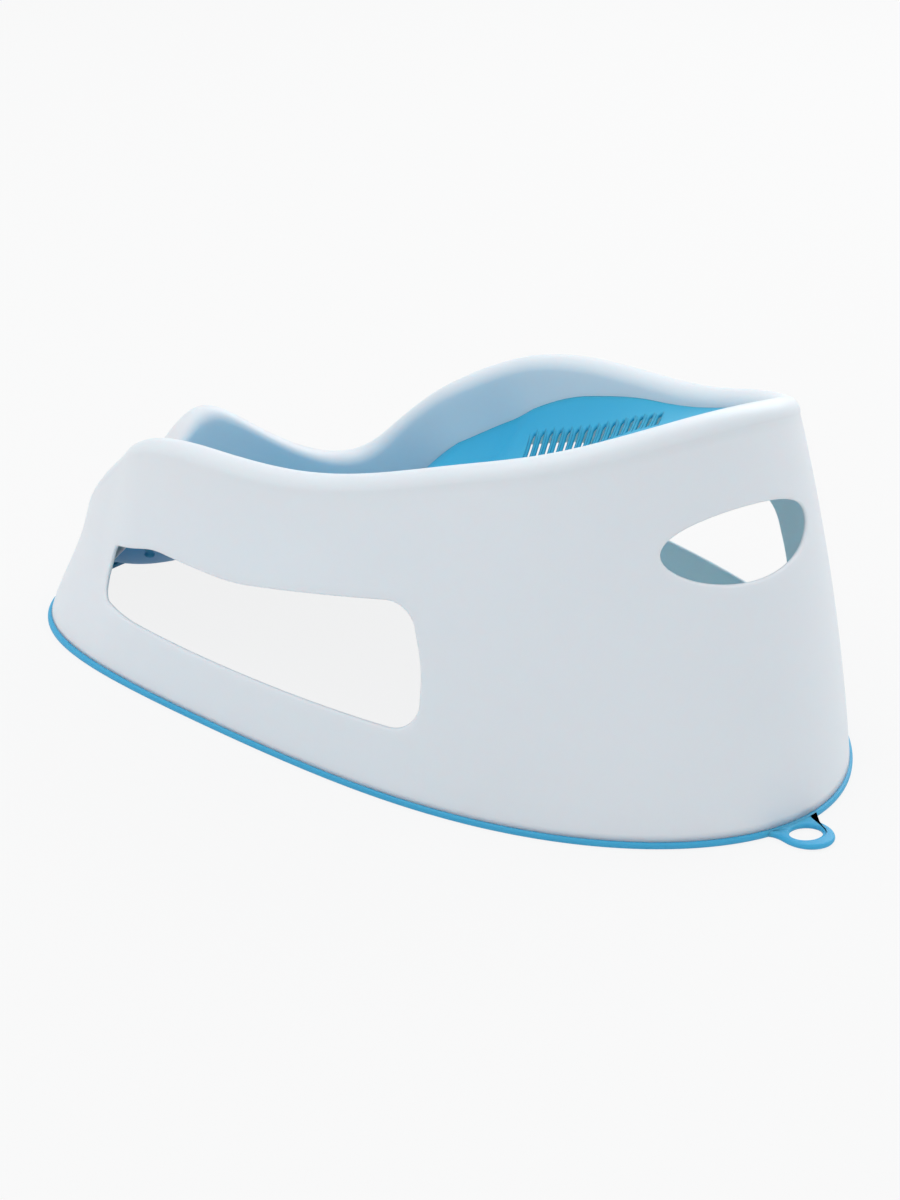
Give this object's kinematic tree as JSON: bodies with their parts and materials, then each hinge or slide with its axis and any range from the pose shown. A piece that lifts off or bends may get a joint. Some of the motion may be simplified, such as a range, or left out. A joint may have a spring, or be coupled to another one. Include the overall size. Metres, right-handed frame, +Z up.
{
  "type": "baby bath seat",
  "caption": "Ring-shaped rigid bath seat frame with a rolled rim, side windows, a carrying slot, a soft dished seat and a soft grip ring with hanging loop.",
  "frame": {"origin": "on the floor plane under the middle of the overall box, hanging loop included", "axes": "+Z up, +Y towards the head end, +X to one side; the part is mirror-symmetric about X = 0"},
  "size_m": [0.4222, 0.6154, 0.234],
  "materials": {
    "frame_plastic": "satin moulded polypropylene, cool white",
    "seat_rubber": "soft matte elastomer, sky blue",
    "grip_rubber": "soft matte elastomer, sky blue"
  },
  "bodies": {
    "root": {"frame_shell": "frame_plastic", "seat_membrane": "seat_rubber", "base_grip": "grip_rubber", "stud_left": "grip_rubber", "stud_right": "grip_rubber"}
  },
  "joints": []
}
